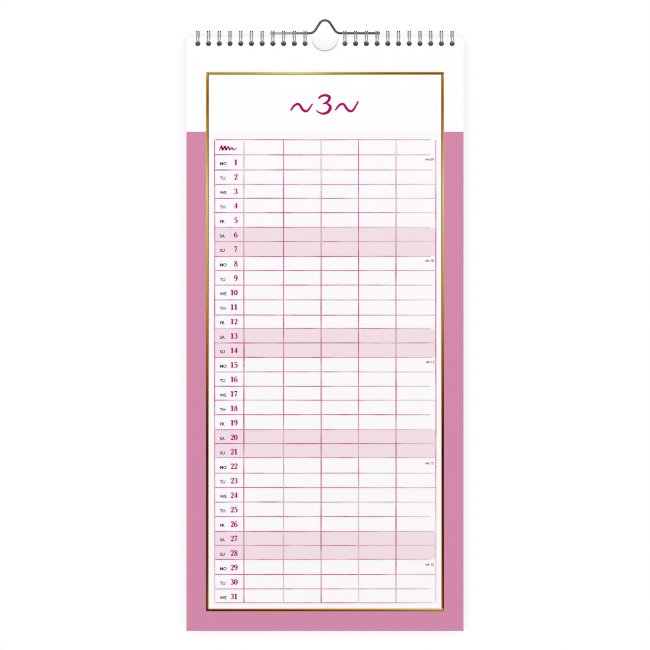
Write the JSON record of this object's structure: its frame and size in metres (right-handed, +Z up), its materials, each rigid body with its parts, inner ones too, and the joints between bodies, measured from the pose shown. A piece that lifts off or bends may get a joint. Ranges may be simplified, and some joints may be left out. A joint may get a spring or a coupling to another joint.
{
  "type": "wall calendar",
  "caption": "Tall wall planner with a ruled month grid, bound along the top in two rows of twin wire loops and hung from a bent wire hanger.",
  "frame": {"origin": "inside of the crown of the hanger's hump, where the nail carries it, half way through the wire", "axes": "+X to the right as read, +Y back towards the wall, +Z up"},
  "size_m": [0.21, 0.0094, 0.4639],
  "materials": {
    "hanger_steel": "drawn wire, dark reflections",
    "binding_steel": "coated silver grey",
    "white_paper": "silk coated",
    "grey_board": "plain grey board",
    "pink_ink": "flat print",
    "gold_ink": "printed gold with a soft sheen",
    "rule_ink": "dry brush print",
    "weekend_ink": "pale flat print"
  },
  "bodies": {
    "hanger": {"hanger_wire": "hanger_steel"},
    "binding": {"left_binding_wire": "binding_steel", "right_binding_wire": "binding_steel", "later_sheets": "white_paper", "back_board": "grey_board"},
    "front_leaf": {"front_sheet": "white_paper", "pink_print": "pink_ink", "gold_line_print": "gold_ink", "grid_line_print": "rule_ink", "weekend_print": "weekend_ink"},
    "turned_leaves": {"turned_sheets": "white_paper"}
  },
  "joints": [
    {"name": "hanger_swing", "type": "hinge", "parent": "hanger", "child": "binding", "pos_m": [0, 0, -0.0089], "axis": [-1, 0, 0], "range_deg": [-180, 180]},
    {"name": "front_leaf_turn", "type": "hinge", "parent": "binding", "child": "front_leaf", "pos_m": [0, 0, -0.01161], "axis": [-1, 0, 0], "range_deg": [0, 90]},
    {"name": "turned_leaves_turn", "type": "hinge", "parent": "binding", "child": "turned_leaves", "pos_m": [0, 0, -0.01161], "axis": [1, 0, 0], "range_deg": [0, 90]}
  ]
}
